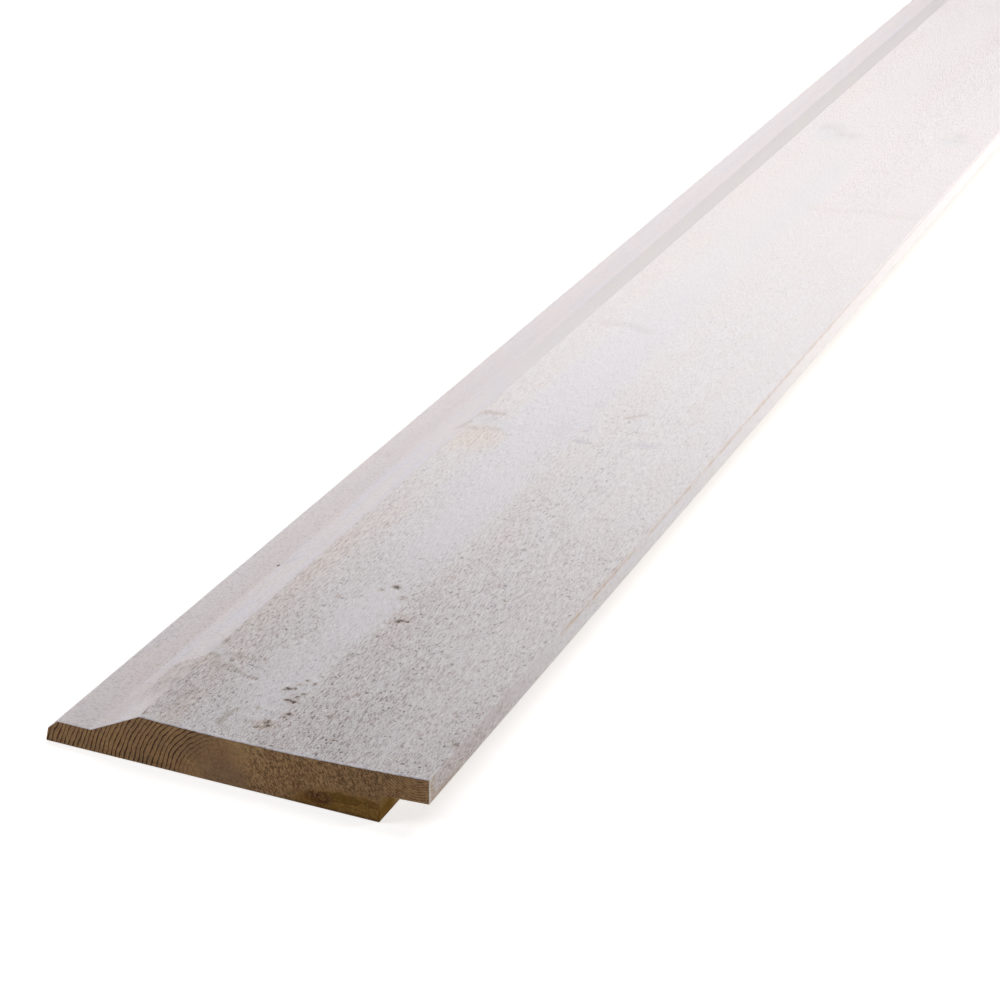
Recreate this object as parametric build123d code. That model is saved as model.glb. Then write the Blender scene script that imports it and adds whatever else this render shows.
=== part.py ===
from build123d import *
import os

# Rebated cladding board: one length of softwood, sawn on its face and machined along both edges.
# X runs across the width, Y along the length and Z up from the flat back. The origin is on the
# back, under the middle of the width and of the length. All sizes are in millimetres.

# Stock
board_length = 1800.0
board_width = 145.0

# Sawn face: a very shallow hollow across the width that climbs to the lip
crest_height = 18.2
face_middle_height = 18.2
lip_top_height = 20.6

# Flange that the lip of the next board laps over, and the bevel from it up to the face
flange_width = 18.4
flange_thickness = 8.7
bevel_width = 19.0
bevel_foot_radius = 2.0

# Outer edge of the flange: a low upright that leans in, then a chamfer
tip_height = 5.3
tip_lean = 1.1
tip_chamfer_width = 3.8

# Rebate under the lip, cut to take the flange of the next board
lap_clearance = 1.7
foot_clearance = 0.5
lip_rise = 1.0
rebate_corner_radius = 0.8


def round_corner(section, x, z, radius):
    """Round the corner of the section that lies at x, z."""
    corner = section.vertices().sort_by_distance((x, z))[0]
    fillet(corner, radius)


def board_section():
    """Section across the board: flange on the left, lip and rebate on the right."""
    left = -board_width / 2
    right = board_width / 2
    tip_x = left + tip_lean
    flange_edge_x = tip_x + tip_chamfer_width
    foot_x = left + flange_width
    crest_x = foot_x + bevel_width
    middle_x = (crest_x + right) / 2
    wall_x = right - (flange_width - foot_clearance)
    rebate_height = flange_thickness + lap_clearance
    lip_edge_height = rebate_height + lip_rise

    with BuildSketch() as section:
        with BuildLine():
            Polyline(
                (right, lip_top_height),
                (right, lip_edge_height),
                (wall_x, rebate_height),
                (wall_x, 0),
                (left, 0),
                (tip_x, tip_height),
                (flange_edge_x, flange_thickness),
                (foot_x, flange_thickness),
                (crest_x, crest_height),
            )
            ThreePointArc(
                (crest_x, crest_height),
                (middle_x, face_middle_height),
                (right, lip_top_height),
            )
        make_face()
        round_corner(section, foot_x, flange_thickness, bevel_foot_radius)
        round_corner(section, wall_x, rebate_height, rebate_corner_radius)
    return section.sketch


def cladding_board():
    """The section run along the whole length, with both ends sawn square."""
    upright_section = Plane.XZ * board_section()
    board = extrude(upright_section, amount=board_length / 2, both=True)
    board.label = "cladding_board"
    return board


os.makedirs("parts", exist_ok=True)
export_step(cladding_board(), "parts/cladding_board.step")
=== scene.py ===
import math

import bpy
import numpy as np
from mathutils import Matrix, Vector
from mathutils.geometry import delaunay_2d_cdt


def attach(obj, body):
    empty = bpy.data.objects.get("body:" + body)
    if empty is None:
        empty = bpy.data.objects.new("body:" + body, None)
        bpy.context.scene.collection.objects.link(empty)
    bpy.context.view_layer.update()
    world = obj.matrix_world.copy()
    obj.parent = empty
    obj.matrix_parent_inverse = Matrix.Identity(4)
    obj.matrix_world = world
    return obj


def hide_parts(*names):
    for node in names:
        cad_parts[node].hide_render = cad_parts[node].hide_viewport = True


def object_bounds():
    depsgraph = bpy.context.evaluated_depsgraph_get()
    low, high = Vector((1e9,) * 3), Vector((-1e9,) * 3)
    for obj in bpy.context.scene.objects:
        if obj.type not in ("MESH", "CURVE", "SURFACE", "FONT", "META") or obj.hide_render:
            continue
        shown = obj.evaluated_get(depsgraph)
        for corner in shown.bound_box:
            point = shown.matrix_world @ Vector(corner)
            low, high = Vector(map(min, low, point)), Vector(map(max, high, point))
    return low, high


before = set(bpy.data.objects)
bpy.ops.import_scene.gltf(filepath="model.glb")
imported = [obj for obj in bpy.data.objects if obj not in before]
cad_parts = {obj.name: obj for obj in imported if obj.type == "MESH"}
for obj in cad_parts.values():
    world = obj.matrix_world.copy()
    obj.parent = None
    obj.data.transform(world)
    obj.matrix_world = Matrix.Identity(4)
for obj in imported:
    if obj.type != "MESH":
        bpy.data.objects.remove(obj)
cad_lo, cad_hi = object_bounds()

# All sizes below are millimetres in the frame of the board, and MM turns them into metres.
MM = 0.001

# The board's box, from the frame
LEFT, NEAR = cad_lo.x / MM, cad_lo.y / MM
RIGHT, FAR = cad_hi.x / MM, cad_hi.y / MM
LIP_TOP = cad_hi.z / MM
LENGTH = FAR - NEAR

# The board's section, as in the solid
CREST_HEIGHT = 18.2
FLANGE_WIDTH = 18.4
FLANGE_THICKNESS = 8.7
BEVEL_WIDTH = 19.0
FOOT_RADIUS = 2.0
TIP_HEIGHT = 5.3
TIP_LEAN = 1.1
TIP_CHAMFER = 3.8
LIP_WIDTH = 17.9
REBATE_HEIGHT = 10.4
LIP_EDGE_HEIGHT = 11.4
REBATE_RADIUS = 0.8

FOOT_X = LEFT + FLANGE_WIDTH
CREST_X = FOOT_X + BEVEL_WIDTH
WALL_X = RIGHT - LIP_WIDTH
FACE_MIDDLE_X = (CREST_X + RIGHT) / 2

# Worn corners
ARRIS_RADIUS = 0.35
END_ARRIS = 0.22
CORNER_PIECES = 4

# Mesh spacing: across the section, along the board and over the ends
FACE_STEP = 0.85
MACHINED_STEP = 1.6
EDGE_STEP = 1.5
REBATE_STEP = 3.0
BACK_STEP = 8.0
NEAR_ROW_STEP = 3.4
KNOT_ROW_STEP = 1.5
TORN_ROW_STEP = 0.8
FAR_ROW_STEP = 11.0
TORN_ROWS = (9, 47)
KNOT_ROWS = [(0, 56), (96, 142), (274, 318)]
FINE_ROWS_END = 740
CAP_STEP = 1.1

# A torn mark's hollow is this much wider than its dark bottom
TORN_REACH = 1.8

SEED = 7
LATTICE_SIZE = 256

# What the face shows, at its place across the board (x) and along it from the near end (y).
# Smooth pale patches over ingrown knots: x, y, half width, half length, strength
SMOOTH_PATCHES = [
    (-2.0, 44.0, 11.5, 30.0, 0.9),
    (1.0, 98.0, 9.5, 30.0, 0.85),
    (2.5, 112.0, 6.0, 10.0, 0.8),
    (-8.0, 10.0, 14.0, 16.0, 0.25),
    (3.0, 188.0, 10.0, 55.0, 0.5),
    (-30.5, 51.0, 5.5, 3.6, 0.9),
    (-28.0, 281.0, 15.0, 6.0, 0.7),
    (10.0, 286.0, 9.0, 12.0, 0.5),
    (41.0, 285.0, 9.0, 5.0, 0.6),
    (5.0, 640.0, 9.0, 90.0, 0.55),
]
# Torn, dark-bottomed marks: x and y of both ends, half width, strength
TEARS = [
    (5.3, 14.6, 5.9, 16.1, 0.8, 0.9),
    (6.2, 12.2, 7.5, 14.2, 0.8, 0.9),
    (3.3, 10.8, 4.2, 11.3, 0.75, 0.9),
    (5.3, 10.9, 5.8, 11.6, 0.7, 0.6),
    (10.2, 14.2, 11.2, 15.4, 0.75, 0.4),
    (9.0, 22.5, 10.4, 23.5, 0.65, 1.0),
    (10.6, 24.6, 11.1, 27.1, 0.6, 0.3),
    (9.3, 20.9, 9.7, 19.9, 0.7, 0.7),
    (4.2, 31.0, 5.9, 31.9, 0.65, 1.0),
    (7.1, 30.0, 8.1, 31.8, 0.7, 0.95),
    (0.6, 38.4, 2.5, 38.8, 0.7, 1.0),
    (3.0, 39.1, 4.3, 39.6, 0.6, 0.8),
    (0.0, 36.6, 1.1, 37.4, 0.6, 0.7),
    (4.1, 34.8, 5.3, 35.4, 0.5, 0.7),
    (6.7, 35.2, 7.3, 34.0, 0.8, 0.7),
    (7.7, 36.0, 8.6, 37.6, 0.75, 0.7),
    (3.2, 42.1, 4.7, 42.9, 0.6, 0.7),
    (4.9, 46.0, 5.3, 46.3, 0.75, 0.8),
    (8.2, 44.1, 8.6, 46.2, 0.65, 0.7),
    (-2.4, 22.3, -0.8, 22.5, 0.75, 0.6),
    (-13.4, 39.3, -12.6, 40.2, 0.65, 0.4),
    (-10.0, 37.3, -9.4, 38.0, 0.6, 0.4),
    (-15.7, 53.3, -14.8, 53.7, 0.55, 0.6),
    (-14.6, 51.0, -13.8, 51.8, 0.6, 0.6),
    (1.3, 124.2, 3.3, 123.8, 0.95, 1.0),
    (-2.2, 118.9, -1.6, 120.3, 0.85, 0.7),
    (7.5, 115.7, 9.1, 116.5, 0.7, 0.9),
    (-14.2, 107.0, -13.9, 109.0, 0.95, 0.5),
    (-13.8, 122.2, -13.0, 125.0, 0.8, 0.3),
    (14.0, 99.3, 15.6, 99.9, 0.9, 1.1),
    (17.0, 100.2, 18.4, 100.8, 0.85, 0.9),
    (11.6, 98.2, 12.4, 97.8, 0.8, 0.5),
    (16.9, 111.4, 17.9, 113.4, 0.8, 0.5),
    (30.4, 12.7, 32.0, 13.4, 0.7, 0.7),
    (40.6, 15.9, 42.4, 16.6, 0.65, 0.6),
    (23.0, 25.6, 23.4, 28.0, 0.8, 0.7),
    (50.5, 34.0, 51.6, 34.6, 0.6, 0.5),
    (58.5, 34.6, 59.6, 35.2, 0.6, 0.6),
    (62.9, 41.8, 63.4, 43.0, 0.8, 0.5),
    (70.8, 23.6, 71.2, 25.4, 0.85, 0.8),
    (43.4, 128.8, 44.4, 129.4, 0.8, 0.7),
    (40.6, 174.2, 41.4, 175.8, 0.8, 0.6),
    (52.3, 313.2, 52.7, 315.0, 0.8, 0.4),
    (10.6, 288.8, 13.3, 291.2, 0.7, 0.5),
    (11.4, 277.5, 14.9, 280.1, 0.8, 0.55),
]
# Bluish stains where a knot lies under the wash: x, y, half width, half length, strength
STAINS = [
    (-32.0, 49.6, 4.6, 3.0, 0.8),
    (-37.0, 56.0, 5.0, 8.0, 0.4),
    (-50.0, 140.8, 4.0, 2.2, 0.8),
    (-29.0, 283.0, 7.0, 8.0, 0.45),
    (41.5, 285.0, 6.0, 2.6, 0.7),
    (8.0, 320.0, 3.0, 5.0, 0.6),
    (15.5, 279.0, 4.0, 3.0, 0.7),
    (13.0, 293.0, 2.4, 4.0, 0.7),
    (2.0, 290.0, 7.0, 20.0, 0.15),
]
# Pin knot in the foot of the bevel, written as a torn mark
PIN_KNOT = (-55.2, 136.6, -54.6, 139.0, 0.9, 0.9)
# Hair lines of bent grain: x and y of both ends, half width, strength
GRAIN_LINES = [
    (-35.2, 48.6, -33.3, 49.1, 0.9, 0.55),
    (-33.3, 49.1, -30.2, 48.0, 0.9, 0.6),
    (-26.3, 49.0, -23.6, 50.7, 0.9, 0.55),
    (-29.2, 51.2, -25.0, 53.2, 1.2, 0.5),
    (-24.6, 51.9, -20.3, 51.6, 0.8, 0.5),
    (-20.3, 51.6, -15.6, 53.4, 0.8, 0.5),
    (-34.8, 60.2, -33.8, 60.8, 1.0, 0.6),
    (-30.6, 44.8, -26.0, 41.0, 2.2, 0.25),
    (-8.8, 8.3, -9.0, 13.4, 0.9, 0.6),
    (-9.0, 13.4, -7.6, 19.3, 0.9, 0.6),
    (-28.9, 17.4, -26.8, 25.3, 0.9, 0.4),
    (-22.6, 43.9, -16.1, 40.7, 0.9, 0.4),
    (-16.1, 40.7, -11.6, 39.7, 0.9, 0.4),
    (-40.4, 277.6, -37.2, 281.6, 1.7, 0.5),
    (-37.2, 281.6, -34.6, 287.0, 1.7, 0.4),
    (-34.6, 287.0, -31.6, 290.2, 1.7, 0.4),
    (-31.6, 290.2, -26.0, 291.3, 1.8, 0.45),
    (-36.9, 276.2, -36.0, 277.4, 1.8, 0.6),
    (-32.8, 271.5, -26.7, 273.5, 1.4, 0.35),
    (-26.7, 273.5, -20.4, 275.5, 1.4, 0.3),
    (-26.5, 412.0, -16.0, 416.0, 3.0, 0.14),
    (-16.0, 416.0, -4.5, 412.5, 3.0, 0.14),
    (23.5, 311.0, 29.5, 317.0, 0.9, 0.5),
    (-66.5, 251.5, -60.5, 252.5, 0.9, 0.5),
    (13.0, 622.0, 40.0, 627.0, 5.0, 0.07),
    (40.0, 627.0, 67.0, 624.0, 5.0, 0.07),
]
# Beige and pinkish places where the wash is thin: x, y, half width, half length, strength
THIN_WASH = [
    (-24.5, 264.0, 12.0, 15.0, 0.7),
    (-31.0, 256.0, 6.0, 12.0, 0.55),
    (-24.0, 548.0, 11.0, 16.0, 0.3),
    (17.0, 90.0, 8.0, 16.0, 0.3),
    (5.6, 13.2, 5.0, 4.0, 1.0),
    (14.6, 103.0, 4.0, 4.0, 0.35),
    (-39.0, 44.0, 8.0, 8.0, 1.0),
]
# Whorls of knots along the rest of the board, as distances from the near end
FAR_WHORLS = [765, 1010, 1275, 1530, 1705]

# Growth rings round a pith near the back. They lean in over it from both sides, and more on the far left.
PITH_X = -5.0
PITH_Z = 0.5
RING_LEAN = 0.18
OUTER_RING_LEAN = 0.14
RING_PITCH = 1.7

# Tight arcs in the right half of the end, round a point above the board
TIGHT_X = 68.0
TIGHT_Z = 28.0
TIGHT_RING_PITCH = 0.95

# Degrees by which the saw's marks in the right half of the end lean
HATCH_TURN = 35.0

# Foot of a branch at the back of the end
KNOT_X = 45.0
KNOT_Z = 0.0
KNOT_HALF_WIDTH = 24.0
KNOT_HALF_HEIGHT = 9.5

# Lamps: name, place and aim in metres from the near end's middle, size in metres, and watts
LAMPS = [
    ("strip", (0.1, 0.9, 0.6), (0.1, 0.9, 0.0), (0.7, 1.6), 7.1),
    ("left", (-1.2, -0.6, 0.8), (0.0, 0.2, 0.0), (0.8, 0.8), 10.4),
    ("right", (1.2, 1.0, 0.3), (0.0, 0.7, 0.0), (0.6, 0.6), 10.0),
]
WORLD_LIGHT = 0.03

# The floor: half its side in metres, its gap under the board in millimetres, and the lift that shows it white
FLOOR_HALF = 30.0
FLOOR_GAP = 0.2
FLOOR_GLOW = 0.70

# The camera, from the photograph: millimetres from the near end's middle, and degrees
CAMERA_AT = (362.3, -639.3, 446.1)
CAMERA_TURN = 22.68
CAMERA_TILT = 24.91
CAMERA_ROLL = 1.09
CAMERA_LENS = 91.55
SENSOR_WIDTH = 36.0


# Noise that repeats itself exactly from run to run

def noise(u, v, seed):
    """Smooth noise between -1 and 1, with features about one unit across."""
    size = LATTICE_SIZE
    table = np.random.default_rng(seed).random((size, size)) * 2 - 1
    iu = np.floor(u).astype(int)
    iv = np.floor(v).astype(int)
    fu = u - iu
    fv = v - iv
    fu = fu * fu * (3 - 2 * fu)
    fv = fv * fv * (3 - 2 * fv)
    corners = [table[(iu + a) % size, (iv + b) % size] for a, b in ((0, 0), (1, 0), (0, 1), (1, 1))]
    low = corners[0] + (corners[1] - corners[0]) * fu
    high = corners[2] + (corners[3] - corners[2]) * fu
    return low + (high - low) * fv


def layered(u, v, seed):
    """Noise with two finer layers on top, still between about -1 and 1."""
    weights = (1.0, 0.5, 0.25)
    total = 0.0
    for k, weight in enumerate(weights):
        total = total + weight * noise(u * 2**k + 17.3 * k, v * 2**k + 9.1 * k, seed + k)
    return total / sum(weights)


def ellipse(x, y, at_x, at_y, half_x, half_y):
    """1 in the middle of an ellipse and 0 from its outline on."""
    reach = ((x - at_x) / half_x) ** 2 + ((y - at_y) / half_y) ** 2
    return np.clip(1 - reach, 0, 1)


def band(x, middle, half):
    """1 inside a band and 0 outside, with soft edges."""
    return np.exp(-(((x - middle) / half) ** 4))


def from_segment(x, y, x0, y0, x1, y1):
    """Distance to a straight line between two points."""
    length = (x1 - x0) ** 2 + (y1 - y0) ** 2
    share = np.clip(((x - x0) * (x1 - x0) + (y - y0) * (y1 - y0)) / length, 0, 1)
    return np.hypot(x - x0 - share * (x1 - x0), y - y0 - share * (y1 - y0))


def from_lens(x, y, x0, y0, x1, y1, half):
    """0 in the middle of a lens that lies between two points, and 1 at its outline."""
    length = math.hypot(x1 - x0, y1 - y0)
    along_x = (x1 - x0) / length
    along_y = (y1 - y0) / length
    away_x = x - (x0 + x1) / 2
    away_y = y - (y0 + y1) / 2
    along = away_x * along_x + away_y * along_y
    across = away_y * along_x - away_x * along_y
    return np.hypot(along / (length / 2 + 0.7 * half), across / half)


# Where the face is smooth, torn, lined, warm or rough

def far_whorls():
    """Patches, tears and grain lines round the knots of the length that carries on past the fine rows."""
    random = np.random.default_rng(SEED)
    patches, tears, lines = [], [], []
    for middle in FAR_WHORLS:
        for _ in range(random.integers(2, 4)):
            x = random.uniform(-28, 62)
            y = middle + random.uniform(-14, 14)
            width = random.uniform(5, 10)
            patches.append((x, y, width, width * random.uniform(1.4, 3.2), random.uniform(0.6, 1.0)))
            lines.append((x - width, y + 3, x, y + random.uniform(6, 12), 3.0, 0.15))
            lines.append((x, y + random.uniform(6, 12), x + width, y + 3, 3.0, 0.15))
            for _ in range(random.integers(1, 4)):
                tear_x = x + random.uniform(-6, 6)
                tear_y = y + random.uniform(-9, 9)
                end_x = tear_x + random.uniform(0.6, 2.0)
                end_y = tear_y + random.uniform(-0.5, 2.0)
                half = random.uniform(0.8, 1.1)
                strength = random.uniform(0.2, 0.7)
                tears.append((tear_x, tear_y, end_x, end_y, half, strength))
    return patches, tears, lines


WHORL_PATCHES, WHORL_TEARS, WHORL_LINES = far_whorls()


def smooth_places(x, y):
    """Up to 1 where the face is smooth, with ragged outlines."""
    total = 0 * x
    for at_x, at_y, half_x, half_y, strength in SMOOTH_PATCHES + WHORL_PATCHES:
        soft = 1.4 * ellipse(x, y, at_x, at_y, half_x * 1.25, half_y * 1.25)
        total = np.maximum(total, strength * np.clip(soft, 0, 1))
    ragged = 0.45 * layered(x / 4, y / 9, SEED + 61)
    return np.clip(total * (1 + ragged), 0, 1)


def torn_places(x, y):
    """Up to about 1 in the middle of a torn mark, 0 near its edge, and falling evenly from there."""
    total = np.full(np.shape(x), -2.0)
    for x0, y0, x1, y1, half, strength in TEARS + WHORL_TEARS + [PIN_KNOT]:
        total = np.maximum(total, strength - from_lens(x, y, x0, y0, x1, y1, TORN_REACH * half))
    return total


def strongest_ellipse(x, y, places):
    total = 0 * x
    for at_x, at_y, half_x, half_y, strength in places:
        total = np.maximum(total, strength * ellipse(x, y, at_x, at_y, half_x, half_y))
    return total


def stained_places(x, y):
    """Up to 1 in the bluish stains."""
    ragged = 0.6 * layered(x / 2.5, y / 2.5, SEED + 65)
    return np.clip(strongest_ellipse(x, y, STAINS) * (1 + ragged), 0, 1)


def lined_places(x, y):
    """Up to 1 on the hair lines of bent grain."""
    total = 0 * x
    sway = 0.8 * noise(x / 5, y / 5, SEED + 71)
    for x0, y0, x1, y1, half, strength in GRAIN_LINES + WHORL_LINES:
        away = from_segment(x, y + sway, x0, y0, x1, y1)
        total = np.maximum(total, strength * np.clip(1 - away / (1.6 * half), 0, 1))
    return total


def warm_places(x, y):
    """Where the wash is thin and the wood's colour comes through."""
    bands = 0.55 * band(x, -29, 8) + 0.30 * band(x, 18, 8) + 0.12 * band(x, 58, 14)
    bands = bands * (0.8 + 0.7 * noise(x / 8, y / 45, SEED + 33))
    drift = 0.12 * layered(x / 6, y / 60, SEED + 31) + 0.10 * layered(x / 14, y / 22, SEED + 35)
    thinness = np.interp(y, [0, 150, 300, 700, LENGTH], [1.0, 0.95, 0.55, 0.3, 0.7])
    return np.clip((bands + drift) * thinness + strongest_ellipse(x, y, THIN_WASH), 0, 1)


def rough_places(x, y):
    """How much the fibres stand up: most at the near end, where the wash lies thinnest."""
    places = [0, 60, 110, 170, 220, 350, 600, 900, LENGTH]
    along = np.interp(y, places, [1.20, 0.98, 0.88, 0.72, 0.53, 0.29, 0.18, 0.4, 0.6])
    across = 0.88 + 0.25 * band(x, 24, 20) - 0.12 * band(x, -4, 12) * np.interp(y, [120, 200], [0, 1])
    across = across + 0.16 * band(x, -18, 20) * np.interp(y, [40, 110], [1, 0])
    patchy = 1 + 0.20 * layered(x / 12, y / 30, SEED + 81)
    return np.clip(along * across * patchy * (1 - 0.60 * smooth_places(x, y)), 0, 1.5)


# The mesh of the board

def face_height(x):
    """Height of the sawn face: the shallow hollow through its crest, middle and lip heights."""
    rise = LIP_TOP - CREST_HEIGHT
    half = FACE_MIDDLE_X - CREST_X
    return CREST_HEIGHT + rise * (x - CREST_X) * (x - FACE_MIDDLE_X) / (2 * half * half)


def top_height(x):
    """Height of the upper side, from the tip's chamfer to the lip."""
    left = LEFT + TIP_LEAN
    places = [left, left + TIP_CHAMFER, FOOT_X, CREST_X]
    machined = np.interp(x, places, [TIP_HEIGHT, FLANGE_THICKNESS, FLANGE_THICKNESS, CREST_HEIGHT])
    return np.where(x < CREST_X, machined, face_height(x))


def face_relief(x, y):
    """How far the sawn face stands out of its even height."""
    waves = 0.16 * layered(x / 26, y / 120, SEED) + 0.07 * noise(x / 9 + 3, y / 14, SEED + 11)
    saw = 0.03 * np.sin(2 * math.pi * (y + 1.6 * noise(x / 30, y / 40, SEED + 5)) / 7.4)
    fibres = 0.075 * noise(x / 1.7, y / 9, SEED + 21) + 0.05 * noise(x / 0.9, y / 5, SEED + 22)
    crest = 0.9 * np.exp(-(((x - CREST_X) / 24) ** 2)) * np.exp(-(((y - 330) / 230) ** 2))
    patches = 0.10 * smooth_places(x, y)
    torn = 0.42 * np.clip(torn_places(x, y), 0, 1)
    return waves + saw + fibres * rough_places(x, y) + patches - torn + crest


def machined_relief(x, y):
    """The planed faces are nearly even, and fuzzy only where a knot crosses the crest."""
    fuzzy = 0.12 * ellipse(x, y, -40, 44, 9, 11) * noise(x / 0.9, y / 2, SEED + 43)
    return 0.02 * layered(x / 7, y / 60, SEED + 41) + fuzzy


def corner_cuts(corners):
    """Each corner's place, the directions of its sides, and how much of them its rounding takes."""
    cuts = []
    for k, corner in enumerate(corners):
        here = Vector(corner[:2])
        before = (Vector(corners[k - 1][:2]) - here).normalized()
        after = (Vector(corners[(k + 1) % len(corners)][:2]) - here).normalized()
        cut = corner[2] * math.tan((math.pi - before.angle(after)) / 2)
        cuts.append((here, before, after, cut))
    return cuts


def filleted(corners):
    """Points round a closed outline, rounded at its corners.

    Each corner is x, z, radius, and the name and spacing of the side after it.
    """
    cuts = corner_cuts(corners)
    outline = []
    for k, (here, before, after, cut) in enumerate(cuts):
        radius, name, step = corners[k][2:]
        end = here + after * cut
        if cut > 0:
            middle = here + (before + after).normalized() * math.hypot(cut, radius)
            first = here + before * cut - middle
            last = end - middle
            for piece in range(CORNER_PIECES):
                arm = first.lerp(last, piece / CORNER_PIECES).normalized() * first.length
                side = corners[k - 1][3] if piece < CORNER_PIECES / 2 else name
                outline.append((*(middle + arm), side))
        beyond, towards, _, next_cut = cuts[(k + 1) % len(cuts)]
        stop = beyond + towards * next_cut
        pieces = max(1, round((stop - end).length / step))
        for piece in range(pieces):
            outline.append((*end.lerp(stop, piece / pieces), name))
    return outline


def board_outline():
    """The section from the back's left corner round: x, z and the name of the side that starts there."""
    radius = ARRIS_RADIUS
    corners = [
        (LEFT, 0, radius, "back", BACK_STEP),
        (WALL_X, 0, radius, "wall", REBATE_STEP),
        (WALL_X, REBATE_HEIGHT, REBATE_RADIUS, "under", REBATE_STEP),
        (RIGHT, LIP_EDGE_HEIGHT, radius, "lip", EDGE_STEP),
        (RIGHT, LIP_TOP, radius, "face", FACE_STEP),
    ]
    # The hollow face is a chain of short sides, none of which is divided again
    for x in np.arange(RIGHT - 1.2, CREST_X + 0.7, -FACE_STEP):
        corners.append((float(x), float(face_height(x)), 0, "face", BACK_STEP))
    corners += [
        (CREST_X, CREST_HEIGHT, radius, "bevel", MACHINED_STEP),
        (FOOT_X, FLANGE_THICKNESS, FOOT_RADIUS, "flat", MACHINED_STEP),
        (LEFT + TIP_LEAN + TIP_CHAMFER, FLANGE_THICKNESS, radius, "chamfer", EDGE_STEP),
        (LEFT + TIP_LEAN, TIP_HEIGHT, radius, "tip", EDGE_STEP),
    ]
    return filleted(corners)


def row_places():
    """Distances from the near end: close together round the knots, further apart past the middle."""
    rows = [0.0, END_ARRIS]
    at = END_ARRIS
    while at < LENGTH - END_ARRIS - 1:
        if TORN_ROWS[0] <= at < TORN_ROWS[1]:
            at += TORN_ROW_STEP
        elif any(start <= at < end for start, end in KNOT_ROWS):
            at += KNOT_ROW_STEP
        elif at < FINE_ROWS_END:
            at += NEAR_ROW_STEP
        else:
            at += FAR_ROW_STEP
        rows.append(at)
    rows[-1] = LENGTH - END_ARRIS
    rows.append(LENGTH)
    return np.array(rows)


def outward(ring):
    """Unit normals of the outline's points."""
    along = np.roll(ring, -1, axis=0) - np.roll(ring, 1, axis=0)
    along /= np.linalg.norm(along, axis=1)[:, None]
    return along[:, 1], -along[:, 0]


def relieved_rings(ring, sides, rows):
    """The outline at every row, with the relief of each side and the worn ends."""
    x = np.tile(ring[:, 0], (len(rows), 1))
    z = np.tile(ring[:, 1], (len(rows), 1))
    y = np.tile(rows[:, None], (1, len(ring)))
    on_face = np.array([side == "face" for side in sides])
    on_machined = np.array([side in ("bevel", "flat", "chamfer") for side in sides])
    lift = on_face * face_relief(x, y) * np.clip((RIGHT - x) / 1.5, 0, 1)
    lift = np.where(on_face, np.minimum(lift, LIP_TOP - z), on_machined * machined_relief(x, y))
    lift[[0, -1]] -= END_ARRIS
    normal_x, normal_z = outward(ring)
    x = np.clip(x + normal_x * lift, LEFT, RIGHT)
    z = np.clip(z + normal_z * lift, 0, LIP_TOP)
    return x, y + NEAR, z


def inside(rim, points):
    """Which points lie inside a closed outline, and clear of it by a part of the cap's spacing."""
    a = rim[None]
    b = np.roll(rim, -1, axis=0)[None]
    p = points[:, None]
    crosses = (a[..., 1] > p[..., 1]) != (b[..., 1] > p[..., 1])
    rise = np.where(b[..., 1] == a[..., 1], 1.0, b[..., 1] - a[..., 1])
    at = a[..., 0] + (p[..., 1] - a[..., 1]) * (b[..., 0] - a[..., 0]) / rise
    within = np.count_nonzero(crosses & (at > p[..., 0]), axis=1) % 2 == 1
    away = from_segment(p[..., 0], p[..., 1], a[..., 0], a[..., 1], b[..., 0], b[..., 1])
    return within & (away.min(axis=1) > 0.4 * CAP_STEP)


def cap(rim):
    """A flat triangulation of an end: points with the rim's index or -1, and triangles."""
    columns = np.arange(LEFT + CAP_STEP, RIGHT, CAP_STEP)
    levels = np.arange(CAP_STEP, LIP_TOP, CAP_STEP)
    across, up = np.meshgrid(columns, levels)
    shifted_x = across + 0.3 * np.sin(3.1 * up + across)
    shifted_z = up + 0.25 * np.sin(2.3 * across)
    grid = np.stack([shifted_x, shifted_z], axis=-1).reshape(-1, 2)
    grid = grid[inside(rim, grid)]
    points = [Vector(point) for point in np.concatenate([rim, grid]).tolist()]
    edges = [(k, (k + 1) % len(rim)) for k in range(len(rim))]
    flat, _, triangles, origins, _, _ = delaunay_2d_cdt(points, edges, [], 1, 1e-5)
    on_rim = [min([k for k in origin if k < len(rim)], default=-1) for origin in origins]
    return flat, on_rim, triangles


def end_relief(points):
    """Depth of the saw's marks in an end."""
    u = np.array([point.x for point in points])
    v = np.array([point.y for point in points])
    return 0.05 + 0.05 * layered(u / 1.3, v / 1.3, SEED + 51)


def close_end(verts, faces, rim, rim_indices, at, inwards):
    """Closes an end with its cap, sunk by the saw's marks, and gives how many triangles it took."""
    flat, on_rim, triangles = cap(rim)
    place = []
    for point, rim_place, depth in zip(flat, on_rim, end_relief(flat)):
        if rim_place >= 0:
            place.append(int(rim_indices[rim_place]))
        else:
            place.append(len(verts))
            verts.append([point.x, at + inwards * depth, point.y])
    for triangle in triangles:
        corners = [place[k] for k in triangle]
        faces.append(tuple(corners if inwards > 0 else reversed(corners)))
    return len(triangles)


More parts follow.
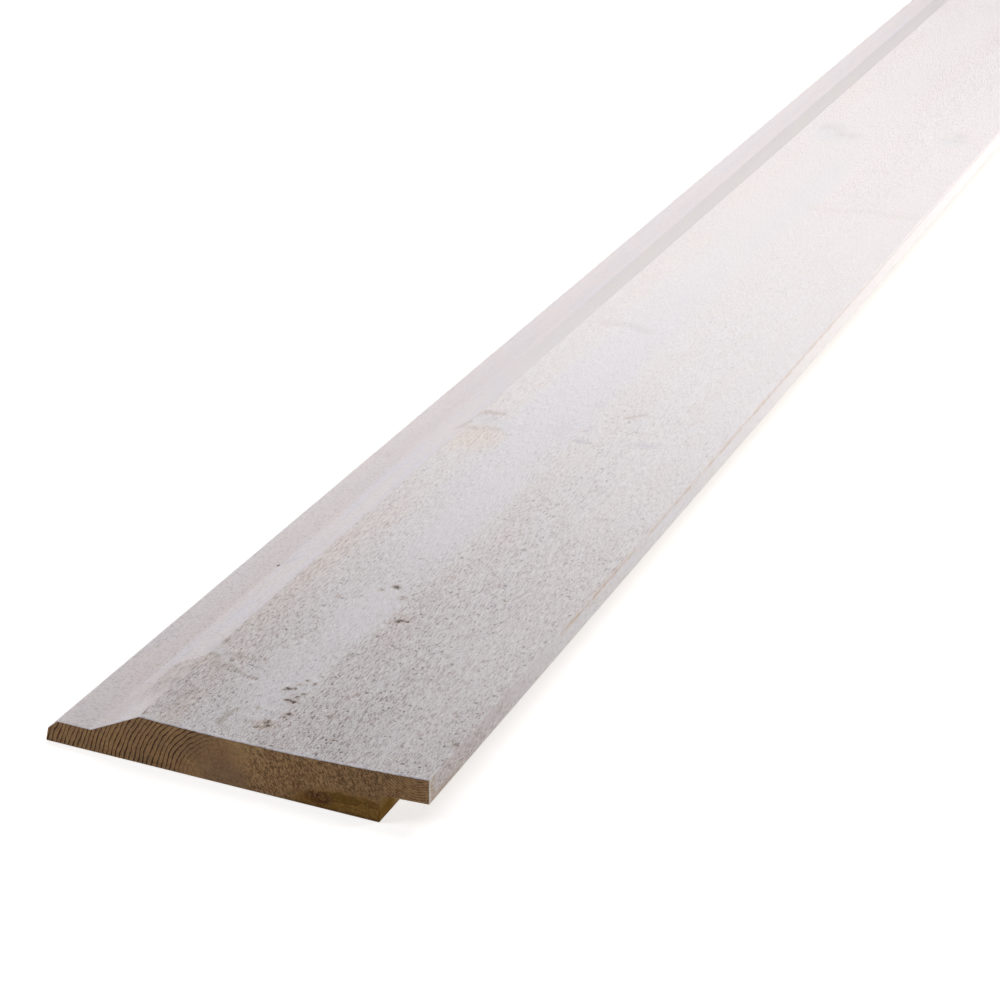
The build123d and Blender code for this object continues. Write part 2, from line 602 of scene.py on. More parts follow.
def board_mesh():
    """The board's mesh, and the name of the side that each of its faces lies on."""
    outline = board_outline()
    ring = np.array([(x, z) for x, z, _ in outline])
    sides = [name for _, _, name in outline]
    rows = row_places()
    x, y, z = relieved_rings(ring, sides, rows)
    verts = np.stack([x, y, z], axis=-1).reshape(-1, 3).tolist()
    index = np.arange(x.size).reshape(x.shape)
    here, there = index[:-1], index[1:]
    quads = np.stack([here, there, np.roll(there, -1, axis=1), np.roll(here, -1, axis=1)], axis=-1)
    faces = [tuple(quad) for quad in quads.reshape(-1, 4).tolist()]
    face_sides = sides * (len(rows) - 1)
    for row, at, inwards, name in ((0, NEAR, 1, "near end"), (-1, FAR, -1, "far end")):
        rim = np.stack([x[row], z[row]], axis=1)
        count = close_end(verts, faces, rim, index[row], at, inwards)
        face_sides = face_sides + [name] * count
    mesh = bpy.data.meshes.new("board")
    mesh.from_pydata((np.array(verts) * MM).tolist(), [], faces)
    put_attributes(mesh, np.array(verts))
    return mesh, face_sides


def put_attributes(mesh, points):
    """What the materials read from the mesh, worked out at each of its points."""
    x = points[:, 0]
    y = points[:, 1] - NEAR
    values = {
        "calm": smooth_places(x, y),
        "tear": torn_places(x, y),
        "line": lined_places(x, y),
        "stain": stained_places(x, y),
        "warm": warm_places(x, y),
        "rough": rough_places(x, y),
        "below top": top_height(x) - points[:, 2],
    }
    for name, value in values.items():
        layer = mesh.attributes.new(name, "FLOAT", "POINT")
        layer.data.foreach_set("value", value.astype(np.float32))


# Materials

def srgb(r, g, b):
    """A colour written as 0-255 screen values, as Blender wants it."""
    def linear(c):
        c = c / 255
        return c / 12.92 if c <= 0.04045 else ((c + 0.055) / 1.055) ** 2.4
    return (linear(r), linear(g), linear(b), 1.0)


# The colour sockets of a Mix node
MIX_A, MIX_B, MIX_RESULT = 6, 7, 2


class Nodes:
    """A material's node tree, with short ways to add what these materials use."""

    def __init__(self, name):
        self.material = bpy.data.materials.new(name)
        self.material.use_nodes = True
        self.tree = self.material.node_tree
        self.shader = self.tree.nodes["Principled BSDF"]
        coordinates = self.add("ShaderNodeTexCoord")
        self.place = self.vector("SCALE", coordinates.outputs["Object"], 1 / MM)
        split = self.add("ShaderNodeSeparateXYZ")
        self.link(self.place, split.inputs[0])
        self.x, self.y, self.z = split.outputs
        self.along = self.math("SUBTRACT", self.y, NEAR)

    def add(self, kind):
        return self.tree.nodes.new(kind)

    def link(self, source, socket):
        if isinstance(source, bpy.types.NodeSocket):
            self.tree.links.new(source, socket)
        else:
            socket.default_value = source

    def vector(self, operation, a, b):
        node = self.add("ShaderNodeVectorMath")
        node.operation = operation
        self.link(a, node.inputs[0])
        self.link(b, node.inputs["Scale"] if operation == "SCALE" else node.inputs[1])
        return node.outputs[0]

    def math(self, operation, a, b=0.0, c=0.0, clamp=False):
        node = self.add("ShaderNodeMath")
        node.operation = operation
        node.use_clamp = clamp
        for value, socket in zip((a, b, c), node.inputs):
            self.link(value, socket)
        return node.outputs[0]

    def times(self, *factors):
        total = factors[0]
        for factor in factors[1:]:
            total = self.math("MULTIPLY", total, factor)
        return total

    def sum(self, *values):
        total = values[0]
        for value in values[1:]:
            total = self.math("ADD", total, value)
        return total

    def hypot(self, a, b):
        return self.math("SQRT", self.sum(self.times(a, a), self.times(b, b)))

    def jittered(self, value, amount, noise):
        """The value, moved up or down by up to half this amount."""
        return self.math("ADD", value, self.math("MULTIPLY_ADD", noise, amount, -amount / 2))

    def warped(self, amount, size):
        """The place in millimetres, moved about by noise of this size."""
        node = self.add("ShaderNodeTexNoise")
        self.link(self.stretched(size), node.inputs["Vector"])
        node.inputs["Scale"].default_value = 1.0
        moved = self.vector("SUBTRACT", node.outputs["Color"], (0.5, 0.5, 0.5))
        return self.vector("ADD", self.place, self.vector("SCALE", moved, amount))

    def stretched(self, size, place=None):
        """The place, counted in units of this size."""
        return self.vector("MULTIPLY", place or self.place, tuple(1 / s for s in size))

    def turned(self, angle):
        """The place, turned about the board's length."""
        node = self.add("ShaderNodeVectorRotate")
        node.rotation_type = "Y_AXIS"
        self.link(self.place, node.inputs["Vector"])
        node.inputs["Angle"].default_value = math.radians(angle)
        return node.outputs[0]

    def noise(self, size, detail=2.0, roughness=0.5, place=None):
        """Noise around 0.5, with features of this size in millimetres."""
        node = self.add("ShaderNodeTexNoise")
        self.link(self.stretched(size, place), node.inputs["Vector"])
        node.inputs["Scale"].default_value = 1.0
        node.inputs["Detail"].default_value = detail
        node.inputs["Roughness"].default_value = roughness
        return node.outputs["Fac"]

    def specks(self, size, reach, share, place=None):
        """1 inside scattered spots. Each cell of this size may have one.

        The reach is a spot's half size as a share of its cell, and the share is how many cells have one.
        """
        node = self.add("ShaderNodeTexVoronoi")
        self.link(self.stretched(size, place), node.inputs["Vector"])
        node.inputs["Scale"].default_value = 1.0
        split = self.add("ShaderNodeSeparateColor")
        self.link(node.outputs["Color"], split.inputs[0])
        chosen = self.math("LESS_THAN", split.outputs[0], share)
        own_reach = self.math("MULTIPLY_ADD", split.outputs[1], 0.8 * reach, 0.5 * reach)
        spot = self.range(node.outputs["Distance"], own_reach, self.times(own_reach, 0.5))
        return self.times(chosen, spot)

    def range(self, value, low, high, to_low=0.0, to_high=1.0):
        node = self.add("ShaderNodeMapRange")
        node.interpolation_type = "SMOOTHSTEP"
        for source, socket in zip((value, low, high, to_low, to_high), node.inputs):
            self.link(source, socket)
        return node.outputs[0]

    def mix(self, factor, a, b):
        node = self.add("ShaderNodeMix")
        node.data_type = "RGBA"
        self.link(factor, node.inputs["Factor"])
        self.link(a, node.inputs[MIX_A])
        self.link(b, node.inputs[MIX_B])
        return node.outputs[MIX_RESULT]

    def coated(self, colour, *coats):
        """The colour under coats. Each coat is a colour, as screen values or an output, and its masks."""
        for over, *masks in coats:
            if isinstance(over, tuple):
                over = srgb(*over)
            colour = self.mix(self.times(*masks), colour, over)
        return colour

    def attribute(self, name):
        node = self.add("ShaderNodeAttribute")
        node.attribute_name = name
        return node.outputs["Fac"]

    def bump(self, height, distance):
        node = self.add("ShaderNodeBump")
        self.link(height, node.inputs["Height"])
        node.inputs["Distance"].default_value = distance * MM
        return node.outputs["Normal"]

    def finish(self, colour, roughness, normal, specular=0.25):
        self.link(colour, self.shader.inputs["Base Color"])
        self.link(normal, self.shader.inputs["Normal"])
        self.shader.inputs["Roughness"].default_value = roughness
        self.shader.inputs["Specular IOR Level"].default_value = specular
        return self.material


def ring_count(n):
    """Growth rings out from the pith, which sways as it runs along the board."""
    sway_x = n.times(n.math("SINE", n.math("DIVIDE", n.along, 260)), 5.0)
    sway_z = n.times(n.math("SINE", n.math("DIVIDE", n.along, 190)), 1.5)
    across = n.math("SUBTRACT", n.math("SUBTRACT", n.x, PITH_X), sway_x)
    up = n.math("SUBTRACT", n.math("SUBTRACT", n.z, PITH_Z), sway_z)
    lean = n.range(across, 20, 0, -RING_LEAN, RING_LEAN)
    outer_lean = n.range(across, -30, -62, 0.0, OUTER_RING_LEAN)
    upright = n.math("SUBTRACT", across, n.times(up, n.sum(lean, outer_lean)))
    broad = n.times(n.noise((34, 150, 34), 1), 3.0)
    narrow = n.times(n.noise((5, 60, 9), 1), 1.8)
    fine = n.times(n.noise((1.6, 30, 2.6), 2), 0.35)
    return n.math("DIVIDE", n.sum(n.hypot(upright, up), broad, narrow, fine), RING_PITCH)


def late_wood(n, count):
    """1 in the dark late wood that closes each ring, rising slowly and ending sharply."""
    turn = n.math("FRACT", count)
    halfway = n.times(n.range(turn, 0.10, 0.30), n.range(turn, 0.44, 0.34), 0.35)
    closing = n.times(n.range(turn, 0.40, 0.80), n.range(turn, 1.0, 0.88))
    return n.sum(halfway, closing)


def ragged_tear(n):
    """The torn marks with frayed edges."""
    return n.jittered(n.attribute("tear"), 1.8, n.noise((1.5, 0.7, 1.0), 2, 0.6))


def wash_colour(n, warm, calm):
    """The thin white wash: cool where it lies thick, beige or pink where the wood comes through."""
    cloud = n.noise((11, 24, 9), 2, 0.5)
    wash = n.mix(n.range(cloud, 0.36, 0.64), srgb(228, 223, 224), srgb(227, 223, 226))
    swaying_x = n.jittered(n.x, 14.0, n.noise((12, 70, 9), 1))
    cool = n.times(n.range(swaying_x, -25, -13), n.range(swaying_x, 15, 4))
    patch = n.noise((6, 12, 6), 1)
    tint = n.mix(n.range(patch, 0.42, 0.58), srgb(230, 221, 212), srgb(231, 220, 217))
    return n.coated(
        wash,
        ((222, 220, 225), cool, n.range(n.along, 300, 620, 0.8, 0.4)),
        ((225, 218, 217), n.range(n.along, 320, 700, 0.0, 0.8)),
        (tint, warm, 0.85),
        ((217, 215, 220), calm, 0.6),
        ((196, 195, 205), n.attribute("stain"), 0.75),
    )


def bare_arris(n):
    """Where the wood shows along the lip's top arris: most at one worn place, and unevenly from there on."""
    uneven = n.range(n.noise((40, 8, 40), 3, 0.65), 0.34, 0.62, 0.15, 1.0)
    worn = n.times(n.range(n.along, 104, 118), n.range(n.along, 200, 160))
    beyond = n.times(n.range(n.along, 110, 180), n.range(n.along, 600, 400), 0.6)
    return n.times(uneven, n.math("MAXIMUM", worn, beyond))


def sawn_texture(n, colour, warm, rough):
    """Standing fibres and specks over a colour, with painted highlights on the fibres' crests and painted
    shade in their hollows, the low grain and the specks' pits, partly where the wash lies thin. Gives the new
    colour and the height.
    """
    loose = n.warped(1.1, (2.4, 4.6, 2.5))
    fibre = n.noise((0.60, 3.5, 2.0), 3, 0.68, place=loose)
    grain = n.noise((0.46, 0.66, 0.6), 1, 0.5)
    late = late_wood(n, ring_count(n))
    small = n.specks((1.5, 2.2, 2.0), 0.33, 0.42, loose)
    large = n.specks((6.4, 4.6, 6.0), 0.15, 0.34, loose)
    hollow = n.range(fibre, 0.50, 0.34)
    crest = n.range(fibre, 0.53, 0.66)
    cool = n.math("MULTIPLY_ADD", warm, -0.5, 1.0)
    # Painted highlight on the fibres' crests, cream where the wash is warm.
    highlight = n.mix(n.times(warm, 0.8), srgb(255, 252, 251), srgb(255, 248, 234))
    colour = n.coated(
        colour,
        ((251, 244, 246), rough, 0.70),
        ((208, 188, 168), late, warm, rough, 0.75),
        # Painted shade in the fibres' hollows, partly where the wash lies thin there, browner in warm places.
        ((182, 163, 162), hollow, rough, 0.72),
        ((202, 175, 152), hollow, warm, rough, 0.5),
        (highlight, crest, rough, 0.98),
        # Painted shade in the low grain and in the specks' pits.
        ((166, 154, 154), n.range(grain, 0.5, 0.3), rough, cool, 0.36),
        ((148, 130, 132), small, rough, cool, 0.64),
        ((116, 106, 100), large, rough, cool, 0.60),
    )
    fibres = n.times(n.math("SUBTRACT", fibre, 0.5), 2.6)
    grains = n.times(n.math("SUBTRACT", grain, 0.5), 1.2)
    pits = n.sum(n.times(late, -0.15), n.times(small, -0.6), n.times(large, -0.9))
    return colour, n.times(n.sum(fibres, grains, pits), n.math("ADD", rough, 0.08))


def sawn_wash():
    """The sawn face: standing fibres, specks and torn marks under the wash, with painted highlights and shade
    on its fibres and a painted highlight along the near end's top arris.
    """
    n = Nodes("sawn_wash")
    warm = n.attribute("warm")
    washed = wash_colour(n, warm, n.attribute("calm"))
    colour, height = sawn_texture(n, washed, warm, n.attribute("rough"))
    ragged = ragged_tear(n)
    torn = n.range(ragged, 0.16, 0.62)
    uneven_x = n.sum(n.x, n.times(n.noise((1.5, 4, 1.5), 2, 0.6), 1.6))
    by_lip = n.range(uneven_x, RIGHT - 0.2, RIGHT + 1.0)
    colour = n.coated(
        colour,
        ((150, 128, 104), n.attribute("line"), 0.8),
        ((196, 172, 152), n.range(ragged, -0.5, 0.2, 0.0, 0.35)),
        ((84, 72, 66), torn, 0.88),
        # Painted highlight: a pale line along the near end's top arris.
        ((250, 245, 252), n.range(n.along, 1.9, 0.4), 0.6),
        ((208, 184, 156), by_lip, bare_arris(n), 0.6),
    )
    return n.finish(colour, 0.75, n.bump(n.math("SUBTRACT", height, torn), 0.45))


def torn_bevel(n):
    """Where a knot in the crest has torn the bevel, up to a step across it."""
    uneven_x = n.jittered(n.x, 7.0, n.noise((3, 6, 3), 2, 0.6))
    upper = n.range(uneven_x, CREST_X - 16, CREST_X - 10)
    uneven_along = n.jittered(n.along, 2.0, n.noise((2.5, 2.5, 2.5), 2))
    return n.times(upper, n.range(uneven_along, 49.5, 47.8), n.range(n.along, 8, 28))


def machined_colour(n, near):
    """The wash on planed wood: pink near the bevel's foot and darker on the flange, with painted shade on the
    bevel towards the far end and a painted highlight in white on its chamfer.
    """
    cloud = n.noise((7, 38, 6), 3, 0.55)
    wash = n.mix(n.range(cloud, 0.36, 0.64), srgb(234, 226, 227), srgb(229, 224, 230))
    foot = n.times(n.range(n.x, FOOT_X - 11, FOOT_X - 3), n.range(n.x, FOOT_X + 2, FOOT_X - 2))
    streak = n.range(n.noise((1.6, 46, 1.6), 3, 0.6), 0.48, 0.72, 0.0, 0.35)
    pink = n.math("ADD", n.times(foot, near, 0.25), streak, clamp=True)
    on_bevel = n.range(n.x, FOOT_X, FOOT_X + 2)
    low = n.range(n.x, CREST_X - 7, CREST_X - 14)
    chamfer_x = LEFT + TIP_LEAN + TIP_CHAMFER
    return n.coated(
        wash,
        ((228, 213, 210), pink, 0.9),
        ((214, 205, 204), n.range(n.x, FOOT_X + 1, FOOT_X - 2), 0.35),
        # Painted shade: the bevel darker towards the far end.
        ((223, 217, 215), on_bevel, n.range(n.along, 240, 520), 0.8),
        ((222, 210, 207), on_bevel, low, n.range(n.along, 60, 10), 0.7),
        # Painted highlight: a near-white line on the tip's chamfer.
        ((250, 247, 246), n.range(n.x, chamfer_x + 0.4, chamfer_x - 0.8)),
    )


def machined_wash():
    """The planed bevel and flange under the same wash, scratched, specked and torn by a knot in the crest."""
    n = Nodes("machined_wash")
    near = n.range(n.along, 0, 420, 1.0, 0.35)
    scratch = n.noise((2.6, 0.8, 1.5), 3, 0.65)
    speck = n.noise((0.8, 1.6, 1.0), 2, 0.65)
    under_crest = n.range(n.x, CREST_X - 4, CREST_X - 0.5)
    fuzz = n.range(n.noise((0.9, 2.8, 1.5), 3, 0.65), 0.54, 0.38)
    torn_place = torn_bevel(n)
    # The torn bevel takes the sawn face's texture, with its painted highlights and painted shade.
    torn_colour, torn_height = sawn_texture(n, srgb(216, 200, 192), 0.3, 1.1)
    torn = n.range(ragged_tear(n), 0.18, 0.62)
    colour = n.coated(
        machined_colour(n, near),
        ((176, 164, 162), n.range(scratch, 0.50, 0.34), near, 0.30),
        ((170, 158, 156), n.range(speck, 0.48, 0.32), near, 0.40),
        ((184, 168, 156), under_crest, near, fuzz, 0.45),
        (torn_colour, torn_place, 0.9),
        ((200, 198, 208), n.attribute("stain"), 0.7),
        ((168, 148, 130), n.attribute("line"), 0.7),
        ((86, 76, 70), torn, 0.85),
    )
    planed_height = n.times(n.sum(speck, n.times(scratch, 0.8)), near)
    height = n.sum(planed_height, n.times(torn_place, torn_height, 2.0), n.times(torn, -1.0))
    return n.finish(colour, 0.6, n.bump(height, 0.2))


def lip_edge():
    """The lip's sawn edge: washed too, with the wood showing along its top arris and at the near corner,
    painted shade towards the near end, painted light towards the far end, painted highlights and shade on its
    fibres near the end, and a painted highlight along the near end's arris.
    """
    n = Nodes("lip_edge")
    near = n.range(n.along, 0, 420, 1.0, 0.35)
    cloud = n.range(n.noise((3, 22, 3), 3, 0.6), 0.45, 0.65)
    wash = n.mix(n.times(cloud, near, 0.6), srgb(231, 226, 228), srgb(226, 217, 211))
    fibre = n.noise((0.8, 2.2, 0.7), 3, 0.66)
    by_end = n.times(near, n.range(n.along, 100, 20, 0.40, 1.0))
    uneven_z = n.sum(n.z, n.times(n.noise((2, 4, 1.5), 2, 0.6), 1.8))
    depth = n.math("SUBTRACT", LIP_TOP, uneven_z)
    rounded = n.range(depth, 1.0, 0.1)
    bare = n.times(n.range(depth, 1.9, 0.7), n.range(depth, -0.8, 0.5), bare_arris(n))
    colour = n.coated(
        wash,
        # Painted shade: the side darker towards the near end.
        ((206, 195, 193), n.range(n.along, 130, 4, 0.0, 0.9)),
        # Painted light: the side lighter towards the far end.
        ((240, 234, 232), n.range(n.along, 220, 460, 0.0, 0.9)),
        # Painted shade in the fibres' hollows and painted highlight on their crests, near the end.
        ((160, 144, 140), n.range(fibre, 0.50, 0.34), by_end, 0.85),
        ((238, 230, 228), n.range(fibre, 0.53, 0.66), by_end, 0.7),
        ((220, 211, 211), rounded, n.range(n.along, 120, 20), 0.5),
        ((223, 214, 211), rounded, n.range(n.along, 180, 380), 0.9),
        ((204, 174, 146), bare, 0.75),
        # Painted shade, browner, low on the side by the near end.
        ((184, 160, 136), n.range(depth, 4.0, 8.0), n.range(n.along, 40, 5), 0.7),
        ((190, 160, 128), n.range(n.along, 5.5, 2.0), n.range(fibre, 0.60, 0.44), 0.6),
        # Painted highlight: a bright line along the near end's arris.
        ((252, 240, 226), n.range(n.along, 1.1, 0.5), 0.9),
    )
    return n.finish(colour, 0.75, n.bump(fibre, 0.25))


def bare_wood():
    """Planed softwood with no wash: the back, the rebate and the tip, with painted shade low on the rebate's
    wall by the near end.
    """
    n = Nodes("bare_wood")
    late = late_wood(n, ring_count(n))
    fine = n.noise((0.4, 24, 0.4), 3, 0.6)
    cloud = n.noise((18, 120, 12), 2, 0.5)
    wood = n.mix(n.range(cloud, 0.35, 0.65), srgb(205, 176, 128), srgb(196, 163, 118))
    under_lip = n.range(n.z, REBATE_HEIGHT + 0.1, REBATE_HEIGHT - 0.2)
    on_wall = n.times(n.range(n.x, WALL_X - 2, WALL_X - 0.5), under_lip)
    # Painted shade: dark olive low on the rebate's wall under the lip, by the near end.
    painted_wall_shade = n.times(on_wall, n.range(n.along, 20, 8), n.range(n.z, 10, 3, 0.45, 1.0))
    colour = n.coated(
        wood,
        ((158, 119, 74), late, 0.6),
        ((150, 114, 74), n.range(fine, 0.45, 0.75, 0.0, 0.4)),
        ((120, 86, 14), painted_wall_shade, 0.95),
    )
    return n.finish(colour, 0.75, n.bump(n.math("SUBTRACT", fine, n.times(late, 0.3)), 0.1), 0.08)


def from_middle(n, x, z, half_width, half_height):
    """How far a place in the end lies across and up from an ellipse's middle, in its half sizes."""
    across = n.math("DIVIDE", n.math("SUBTRACT", n.x, x), half_width)
    up = n.math("DIVIDE", n.math("SUBTRACT", n.z, z), half_height)
    return across, up


def knot_distance(n):
    """0 in the middle of the branch's foot in the end grain, and 1 at its outline."""
    across, up = from_middle(n, KNOT_X, KNOT_Z, KNOT_HALF_WIDTH, KNOT_HALF_HEIGHT)
    return n.jittered(n.hypot(across, up), 0.16, n.noise((6, 9, 2.5), 2))


def end_spot(n, x, z, half_width, half_height, uneven=0.0):
    """1 in the middle of an ellipse in the end grain, falling softly to 0 at its outline."""
    across, up = from_middle(n, x, z, half_width, half_height)
    away = n.sum(n.times(across, across), n.times(up, up))
    if uneven:
        away = n.jittered(away, 2 * uneven, n.noise((2.6, 6, 0.9), 2, 0.6))
    return n.range(away, 1.0, 0.1)


def wide_rings(n):
    """The left half's rings in the end, faded round the pith."""
    slanted_x = n.math("SUBTRACT", n.x, n.times(n.math("SUBTRACT", n.z, 9.0), 0.7))
    strength = n.times(n.range(slanted_x, -8, -20, 0.06, 1.0), n.range(n.x, 40, 10))
    patchy = n.range(n.noise((5, 9, 3), 2), 0.36, 0.60, 0.72, 1.0)
    return n.times(late_wood(n, ring_count(n)), strength, patchy)


def tight_rings(n):
    """The right half's fine arcs in the end, worn in places."""
    across = n.math("SUBTRACT", n.x, TIGHT_X)
    up = n.math("SUBTRACT", n.z, TIGHT_Z)
    coarse = n.times(n.noise((7, 5, 7), 1), 2.0)
    fine = n.times(n.noise((1.5, 3, 1.5), 2), 0.4)
    count = n.math("DIVIDE", n.sum(n.hypot(across, up), coarse, fine), TIGHT_RING_PITCH)
    worn = n.range(n.noise((2.0, 4, 2.4), 2, 0.6), 0.36, 0.58, 0.25, 1.0)
    return n.times(late_wood(n, count), n.range(n.x, 30, 60, 0.15, 0.85), worn)


def end_wood(n):
    """The end's own colour: golden above the pith, grey and faded round it, and browner on the right."""
    blotch = n.noise((7, 7, 5), 2, 0.5)
    wood = n.mix(n.range(blotch, 0.35, 0.65), srgb(202, 159, 112), srgb(188, 147, 108))
    gold = end_spot(n, 3, 17, 12, 6)
    grey = end_spot(n, -3, 3, 13, 9)
    heart = end_spot(n, -9, 12, 14, 9)
    return n.coated(
        wood,
        ((204, 168, 116), gold, 0.5),
        ((146, 120, 100), grey, 0.55),
        ((156, 122, 92), heart, 0.7),
        ((172, 134, 94), n.range(n.x, 8, 24), n.range(n.x, 66, 50, 0.5, 1.0), 0.7),
    )


def branch_foot(n, colour, away, knot):
    """The foot of a branch over a colour: olive, with a dark core, two yellow eyes and a dark lower edge."""
    contour = n.math("FRACT", n.times(away, 6.0))
    olive = n.mix(n.range(away, 0.95, 0.70), srgb(170, 132, 86), srgb(156, 116, 52))
    olive = n.coated(
        olive,
        ((104, 72, 30), n.range(contour, 0.3, 0.9, 0.0, 0.40)),
        ((154, 110, 54), end_spot(n, 24, 2, 9, 5), 0.6),
    )
    torn = n.noise((0.9, 3, 1.6), 3, 0.7, place=n.warped(1.6, (3, 3, 2)))
    core = n.times(end_spot(n, 32.5, 4.0, 6.6, 3.4, 0.3), n.range(torn, 0.42, 0.54, 0.25, 1.0))
    left_eye = end_spot(n, 42, 5.6, 7.5, 1.9, 0.4)
    right_eye = n.times(end_spot(n, 51.6, 5.8, 3.2, 1.7, 0.3), 0.7)
    eyes = n.math("MAXIMUM", left_eye, right_eye)
    return n.coated(
        colour,
        (olive, knot),
        ((74, 34, 10), core),
        ((112, 82, 14), eyes, 0.75),
        ((78, 48, 12), n.range(eyes, 0.0, 0.35), n.range(eyes, 0.9, 0.35), 0.45),
        ((74, 48, 18), knot, n.range(n.z, 1.8, 0.2), 0.6),
    )


def end_grain():
    """The sawn end: rings, a faded heart, the foot of a branch, and the saw's slanting marks on the right."""
    n = Nodes("end_grain")
    fine = n.noise((0.5, 0.5, 0.5), 3, 0.7)
    fleck = n.noise((0.9, 1.6, 1.1), 3, 0.68, place=n.warped(0.8, (1.5, 3.0, 1.5)))
    away = knot_distance(n)
    knot = n.range(away, 1.12, 0.80)
    rings = n.sum(wide_rings(n), tight_rings(n))
    rings = n.times(rings, n.math("MULTIPLY_ADD", knot, -0.95, 1.0))
    hatch = n.noise((0.46, 1.6, 0.95), 1, 0.5, place=n.turned(HATCH_TURN))
    right_half = n.times(n.range(n.jittered(n.x, 16.0, fleck), -2, 12), n.range(n.x, 74, 50))
    hatched = n.times(right_half, n.math("SUBTRACT", 1.0, knot))
    depth = n.sum(n.attribute("below top"), n.times(fine, 0.9))
    colour = n.coated(
        branch_foot(n, end_wood(n), away, knot),
        ((56, 34, 19), rings),
        ((78, 54, 32), hatched, n.range(hatch, 0.54, 0.38), 0.70),
        ((220, 180, 138), hatched, n.range(hatch, 0.54, 0.66), 0.42),
        ((96, 68, 42), n.range(fleck, 0.50, 0.34, 0.0, 0.34)),
        ((218, 178, 136), n.range(fleck, 0.52, 0.68, 0.0, 0.22)),
        ((84, 58, 36), n.range(fine, 0.48, 0.28, 0.0, 0.40)),
        ((222, 184, 140), n.range(fine, 0.54, 0.70, 0.0, 0.35)),
        ((80, 56, 38), n.range(depth, 1.3, 0.5), 0.4),
    )
    height = n.sum(n.times(fine, 1.4), n.times(rings, -0.8))
    return n.finish(colour, 0.8, n.bump(height, 0.2), 0.15)


# The board, its stage, the light and the camera

MATERIALS = [sawn_wash, machined_wash, lip_edge, bare_wood, end_grain]
MATERIAL_OF_SIDE = {
    "face": sawn_wash, "bevel": machined_wash, "flat": machined_wash, "chamfer": machined_wash,
    "lip": lip_edge, "tip": bare_wood, "back": bare_wood, "wall": bare_wood, "under": bare_wood,
    "near end": end_grain, "far end": end_grain,
}


def make_board():
    mesh, face_sides = board_mesh()
    for make in MATERIALS:
        mesh.materials.append(make())
    slots = [MATERIALS.index(MATERIAL_OF_SIDE[side]) for side in face_sides]
    mesh.polygons.foreach_set("material_index", slots)
    mesh.polygons.foreach_set("use_smooth", [True] * len(mesh.polygons))
    mesh.set_sharp_from_angle(angle=math.radians(35))
    mesh.update()
    board = bpy.data.objects.new("board", mesh)
    bpy.context.scene.collection.objects.link(board)
    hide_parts("cladding_board")
    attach(board, "root")


def seen_directly(tree):
    """1 for camera, glossy and transmission rays."""
    path = tree.nodes.new("ShaderNodeLightPath")
    total = path.outputs["Is Camera Ray"]
    for name in ("Is Glossy Ray", "Is Transmission Ray"):
        either = tree.nodes.new("ShaderNodeMath")
        either.operation = "MAXIMUM"
        tree.links.new(total, either.inputs[0])
        tree.links.new(path.outputs[name], either.inputs[1])
        total = either.outputs[0]
    return total


def show(tree, lit, seen, output):
    """Gives one shader to the rays that light the board, and another to the rays that see it."""
    mix = tree.nodes.new("ShaderNodeMixShader")
    tree.links.new(seen_directly(tree), mix.inputs[0])
    tree.links.new(lit.outputs[0], mix.inputs[1])
    tree.links.new(seen.outputs[0], mix.inputs[2])
    tree.links.new(mix.outputs[0], tree.nodes[output].inputs["Surface"])


def make_world():
    """A backdrop that shows white and lights the board only faintly."""
    world = bpy.data.worlds.new("studio")
    world.use_nodes = True
    bpy.context.scene.world = world
    tree = world.node_tree
    light = tree.nodes["Background"]
    light.inputs["Color"].default_value = (1, 1, 1, 1)
    light.inputs["Strength"].default_value = WORLD_LIGHT
    white = tree.nodes.new("ShaderNodeBackground")
    white.inputs["Color"].default_value = (1, 1, 1, 1)
    white.inputs["Strength"].default_value = 1.0
    show(tree, light, white, "World Output")


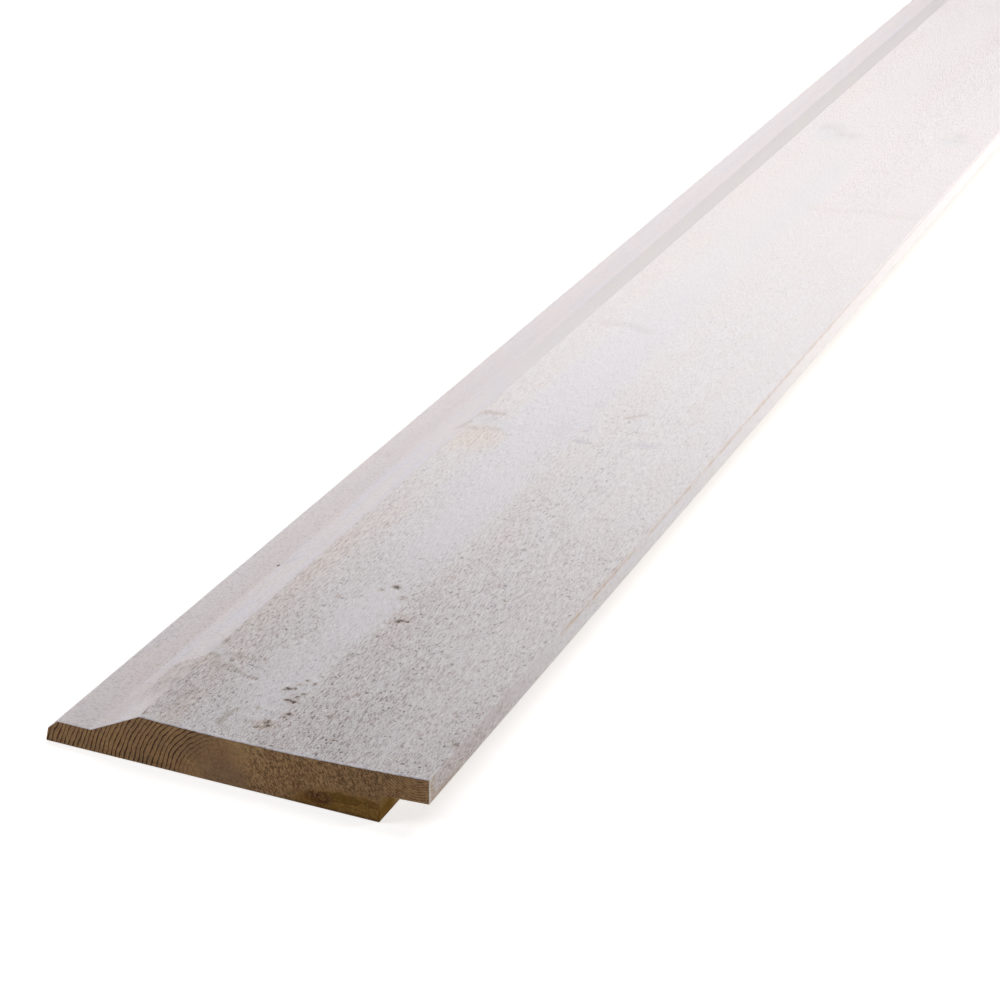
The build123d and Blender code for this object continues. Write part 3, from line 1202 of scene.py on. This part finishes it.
def floor_material():
    """Pale paper that takes the board's shadow, lifted to white where it is seen."""
    material = bpy.data.materials.new("floor")
    material.use_nodes = True
    tree = material.node_tree
    paper = tree.nodes["Principled BSDF"]
    paper.inputs["Base Color"].default_value = (0.8, 0.8, 0.8, 1)
    paper.inputs["Roughness"].default_value = 1.0
    paper.inputs["Specular IOR Level"].default_value = 0.0
    glow = tree.nodes.new("ShaderNodeEmission")
    glow.inputs["Strength"].default_value = FLOOR_GLOW
    lifted = tree.nodes.new("ShaderNodeAddShader")
    tree.links.new(paper.outputs[0], lifted.inputs[0])
    tree.links.new(glow.outputs[0], lifted.inputs[1])
    show(tree, paper, lifted, "Material Output")
    return material


def make_floor():
    mesh = bpy.data.meshes.new("floor")
    signs = [(-1, -1), (1, -1), (1, 1), (-1, 1)]
    corners = [(FLOOR_HALF * across, FLOOR_HALF * along, 0) for across, along in signs]
    mesh.from_pydata(corners, [], [(0, 1, 2, 3)])
    mesh.materials.append(floor_material())
    floor = bpy.data.objects.new("floor", mesh)
    floor.location.z = -FLOOR_GAP * MM
    bpy.context.scene.collection.objects.link(floor)


def softbox(name, at, target, size, power):
    """A rectangular lamp that the camera doesn't see."""
    data = bpy.data.lights.new(name, "AREA")
    data.shape = "RECTANGLE"
    data.size, data.size_y = size
    data.energy = power
    light = bpy.data.objects.new(name, data)
    light.location = Vector((0, NEAR * MM, 0)) + Vector(at)
    aim = Vector(target) - Vector(at)
    light.rotation_euler = aim.to_track_quat("-Z", "Y").to_euler()
    light.visible_camera = False
    bpy.context.scene.collection.objects.link(light)


def make_lights():
    for lamp in LAMPS:
        softbox(*lamp)


def make_camera():
    data = bpy.data.cameras.new("camera")
    data.lens = CAMERA_LENS
    data.sensor_width = SENSOR_WIDTH
    data.clip_start = 0.01
    data.clip_end = 100
    camera = bpy.data.objects.new("camera", data)
    turn, tilt, roll = (math.radians(angle) for angle in (CAMERA_TURN, CAMERA_TILT, CAMERA_ROLL))
    forward = Vector((-math.sin(turn) * math.cos(tilt), math.cos(turn) * math.cos(tilt), -math.sin(tilt)))
    level = Vector((math.cos(turn), math.sin(turn), 0))
    above = level.cross(forward)
    right = level * math.cos(roll) + above * math.sin(roll)
    up = right.cross(forward)
    turned = Matrix((right, up, -forward)).transposed()
    place = (Vector(CAMERA_AT) + Vector((0, NEAR, 0))) * MM
    camera.matrix_world = Matrix.Translation(place) @ turned.to_4x4()
    bpy.context.scene.collection.objects.link(camera)
    bpy.context.scene.camera = camera


bpy.context.scene.view_settings.view_transform = "Standard"
make_board()
make_world()
make_floor()
make_lights()
make_camera()
